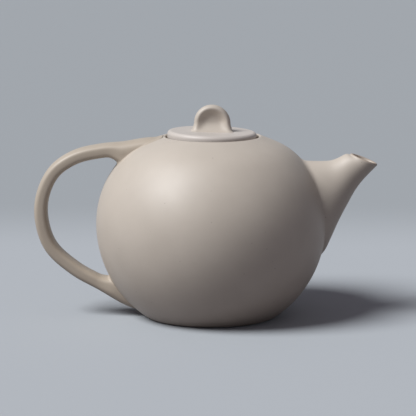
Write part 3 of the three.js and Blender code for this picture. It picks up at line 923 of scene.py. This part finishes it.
def handle_lines(sides=64):
    """Lines along the handle from inside the pot, out at the lower root and in again at the shoulder."""
    line = outline(HANDLE_LINE, samples=HANDLE_SAMPLES)
    tangent = unit(np.gradient(line, axis=0))
    outwards = np.column_stack([-tangent[:, 1], tangent[:, 0]])
    share = np.linspace(0, 1, len(line))[:, None]
    half = (HANDLE_LOWER_THICKNESS + (HANDLE_UPPER_THICKNESS - HANDLE_LOWER_THICKNESS) * share) / 2
    inner = line - outwards * half
    gap = pot_shape(np.column_stack([inner[:, 0], np.zeros(len(line)), inner[:, 1]]))[0][:, None]
    reach, gain = (np.where(share < 0.5, *pair) for pair in (ROOT_REACH, ROOT_GAIN))
    near = np.maximum(0, reach - np.maximum(0, gap))
    half_width = HANDLE_HALF_WIDTH + ROOT_WIDENING * (near / reach) ** 2
    lines = []
    for angle in np.linspace(0, 2 * math.pi, sides, endpoint=False):
        thick, wide = squarer(math.cos(angle)), squarer(math.sin(angle))
        in_plane = line + outwards * (half * thick - gain * near**2 * (1 - thick) / 2)
        lines.append(np.column_stack([in_plane[:, 0], half_width * wide, in_plane[:, 1]]))
    return np.array(lines)


def make_handle():
    lines = handle_lines()
    middle = lines.shape[1] // 2
    lower = cross_lines(lines[:, :middle])
    upper = cross_lines(lines[:, :middle:-1])
    lower_fillet = fillets(len(lines), HANDLE_LOWER_FILLETS)
    upper_fillet = fillets(len(lines), HANDLE_UPPER_FILLETS)
    lower_root = flared_root(lower, lower_fillet)
    upper_root = flared_root(upper, upper_fillet)
    rings = list(lower_root)
    runs = []
    for line, low, high in zip(lines, lower, upper):
        runs.append(np.vstack([low, line[middle : middle + 1], high[::-1]]))
    for share in np.linspace(0, 1, HANDLE_RINGS)[1:-1]:
        ring = []
        for run, low, high in zip(runs, lower_fillet, upper_fillet):
            ring.append(along_line(run, low + share * (length(run) - low - high)))
        rings.append(np.array(ring))
    rings += upper_root[::-1]
    caps = [on_pot(ring.mean(axis=0)[None], np.array([-CAP_DEPTH]))[0] for ring in (rings[0], rings[-1])]
    return skin("handle", rings, handle_shaded_glaze, caps=caps)


handle = make_handle()
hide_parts("handle")
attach(handle, "pot")


# The lid is a thrown disc with a round edge and a steam vent behind the knob. Its top leans a little
# towards the spout, as in the photo.
LID_RADIUS = 31
LID_THICKNESS = 5.3
LID_BOTTOM_EDGE = 1.3
LID_BOTTOM_RINGS = (10, 20, 28)
LID_TOP_EDGE = 2.6
LID_TOP_RING = 27  # the widest one on the flat
LID_RING_STEP = 1.5
LID_COLUMNS = 160
LID_LEAN = 0.026  # fall of the top, in millimetres for each millimetre towards the spout
LID_OFFSET = -0.25
VENT_RADIUS = 1.8
VENT_BEHIND = 14
VENT_OVERRUN = 3  # how far its drill runs past the lid at each end
VENT_COLUMNS = 40
# The lid's two tones are painted greyer and a little lighter than the pot's: a painted reflection of the
# pale room on its flat top.
LID_REFLECTION_GLAZE = (199, 192, 186)  # a little greyer than on the pot
LID_REFLECTION_GLAZE_POOLED = (190, 183, 176)
lid_bottom = SEAT_HEIGHT + SLIP_GAP
lid_top = lid_bottom + LID_THICKNESS

# The lid's glaze, with its painted reflection.
lid_reflection_glaze = fired_surface("lid glaze, painted reflection", (LID_REFLECTION_GLAZE, LID_REFLECTION_GLAZE_POOLED), **GLAZE_FINISH)


def lean(piece, low, high):
    """Leans what lies above low, in full from high up, and shifts the piece a little in its seat."""
    for vertex in piece.data.vertices:
        share = float(smooth_step((vertex.co.z / MM - low) / (high - low)))
        vertex.co.z -= LID_LEAN * (vertex.co.x - AXIS_X) * share
        vertex.co.x += LID_OFFSET * MM


def make_lid():
    quarter = math.pi / 2
    low_centre = (LID_RADIUS - LID_BOTTOM_EDGE, lid_bottom + LID_BOTTOM_EDGE)
    top_centre = (LID_RADIUS - LID_TOP_EDGE, lid_top - LID_TOP_EDGE)
    profile = [(radius, lid_bottom) for radius in (0, *LID_BOTTOM_RINGS)]
    profile += arc(low_centre, LID_BOTTOM_EDGE, -quarter, 0, steps=6)
    profile += arc(top_centre, LID_TOP_EDGE, 0, quarter, steps=10)
    profile += [(radius, lid_top) for radius in np.arange(LID_TOP_RING, 0, -LID_RING_STEP)]
    profile.append((0, lid_top))
    lid = turned("lid", profile, lid_reflection_glaze, columns=LID_COLUMNS, middle=MOUTH_OFFSET)
    low, high = lid_bottom - VENT_OVERRUN, lid_top + VENT_OVERRUN
    drill = [(0, low), (VENT_RADIUS, low), (VENT_RADIUS, high), (0, high)]
    vent = turned("vent drill", drill, lid_reflection_glaze, columns=VENT_COLUMNS, middle=MOUTH_OFFSET)
    for vertex in vent.data.vertices:
        vertex.co.y += VENT_BEHIND * MM
    cut(lid, vent)
    lid.data.set_sharp_from_angle(angle=SHARP_ANGLE)
    return lid


lid = make_lid()
lean(lid, lid_bottom, lid_top)
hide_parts("lid_plate")
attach(lid, "lid")


# The flange is a turned ring luted under the lid. It hangs inside the seat and keeps the lid in while tea
# is poured.
FLANGE_RADIUS = 24.6
FLANGE_WALL = 3.2
FLANGE_DEPTH = 11.4
FLANGE_EDGE = 0.8
flange_bottom = SEAT_HEIGHT - FLANGE_DEPTH

flange = turned(
    "flange",
    ring_profile(FLANGE_RADIUS - FLANGE_WALL, FLANGE_RADIUS, flange_bottom, SEAT_HEIGHT, FLANGE_EDGE),
    bare_clay,
    closed=True,
    columns=LID_COLUMNS,
    middle=MOUTH_OFFSET,
)
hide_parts("lid_flange")
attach(flange, "lid_flange")


# The knob is an upright tab, arched on top, with a thumb press on each face. The presses run out over the
# lid, where slip is smoothed round the foot.
KNOB_HEIGHT = 18.2
KNOB_ARCH_RADIUS = 12.6
KNOB_ARCH_POINTS = 49
KNOB_LEG_LEVELS = 14
KNOB_LEVEL_CROWDING = 1.5  # the levels crowd towards the foot by this power
KNOB_INSETS = (0, 0.06, 0.2, 0.45, 0.8, 1.2, 1.7, 2.2, 2.8, 3.5, 4.3, 5.2, 6.2, 7.5, 9, 10.8)
KNOB_HALF_THICKNESS = 4.6
KNOB_EDGE = 3.4
KNOB_OFFSET = 1.15  # of its middle from the pot's axis, before the lid's own offset
LEG_LEAN = 0.3  # how much wider each side gets for each millimetre down
LEG_BLEND = 0.8
PRESS_DEPTH = 2.9
PRESS_START = 1.2  # from the tab's edge
PRESS_SLOPE = 6.5
PRESS_FADE = 9.0  # above the lid, where the press starts to fade out
PRESS_FOOT = 0.25  # how much of the way that fade still has to go at the lid
SIDE_COVE = 0.8
FOOT_COVE = 2.0
FACE_COVE = 7.0
FACE_SPREAD = 1.9
SUNK = 1.2  # how far the tab runs down into the lid


def cove(height, radius):
    """How far a cove of that radius spreads at a height above the lid."""
    low = np.clip(radius - height, 0, radius)
    return float(radius - np.sqrt(radius**2 - low**2))


def knob_outline():
    """Pairs of an outline point and the point that the face is drawn towards, as (x, height)."""
    centre = KNOB_HEIGHT - KNOB_ARCH_RADIUS
    pairs = []
    legs = np.linspace(0, 1, KNOB_LEG_LEVELS) ** KNOB_LEVEL_CROWDING * centre
    levels = np.concatenate([[-SUNK, -SUNK / 2], legs])
    for z in levels[:-1]:
        down = centre - z
        half = KNOB_ARCH_RADIUS + LEG_LEAN * down**2 / (down + LEG_BLEND) + cove(max(z, 0), SIDE_COVE)
        pairs.append(((-half, z), (0, z)))
    for angle in np.linspace(math.pi, 0, KNOB_ARCH_POINTS):
        point = (KNOB_ARCH_RADIUS * math.cos(angle), centre + KNOB_ARCH_RADIUS * math.sin(angle))
        pairs.append((point, (0, centre)))
    pairs += [((-point[0], point[1]), towards) for point, towards in pairs[: len(levels) - 1][::-1]]
    return pairs


def knob_face(inset, height):
    """Half the tab's thickness at a distance in from its edge and a height above the lid."""
    low = np.clip(KNOB_EDGE - inset, 0, KNOB_EDGE)
    rounded = KNOB_HALF_THICKNESS - KNOB_EDGE + math.sqrt(KNOB_EDGE**2 - low**2)
    press = PRESS_DEPTH * float(smooth_step((inset - PRESS_START) / PRESS_SLOPE))
    press *= float(smooth_step(PRESS_FOOT + (1 - PRESS_FOOT) * height / PRESS_FADE))
    spread = FACE_SPREAD * max(0.0, 1 - max(height, 0) / FACE_COVE) ** 2
    return rounded - press + spread + cove(max(height, 0), FOOT_COVE)


def make_knob():
    columns = []
    for edge, towards in knob_outline():
        edge, towards = np.array(edge), np.array(towards)
        span = np.linalg.norm(towards - edge)
        front = []
        for inset in (*KNOB_INSETS, span):
            x, z = edge + (towards - edge) * inset / span
            front.append((x, -knob_face(inset, z), z))
        back = [(x, -y, z) for x, y, z in front]
        columns.append(front[::-1] + [(front[0][0], 0, front[0][2])] + back)
    rings = np.array(columns)
    rings[..., 0] += KNOB_OFFSET
    rings[..., 2] += lid_top
    count, across = rings.shape[:2]
    faces = [
        (i * across + k, i * across + k + 1, (i + 1) * across + k + 1, (i + 1) * across + k)
        for i in range(count - 1)
        for k in range(across - 1)
    ]
    tab = link_mesh("knob", set_down(rings.reshape(-1, 3)), faces, pulled_glaze)
    shape = bmesh.new()
    shape.from_mesh(tab.data)
    bmesh.ops.remove_doubles(shape, verts=shape.verts, dist=1e-6)
    bmesh.ops.dissolve_degenerate(shape, edges=shape.edges, dist=1e-7)
    bmesh.ops.holes_fill(shape, edges=[e for e in shape.edges if e.is_boundary])
    bmesh.ops.recalc_face_normals(shape, faces=shape.faces)
    shape.to_mesh(tab.data)
    shape.free()
    return tab


knob = make_knob()
lean(knob, low=0, high=1)
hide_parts("lid_knob")
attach(knob, "lid")
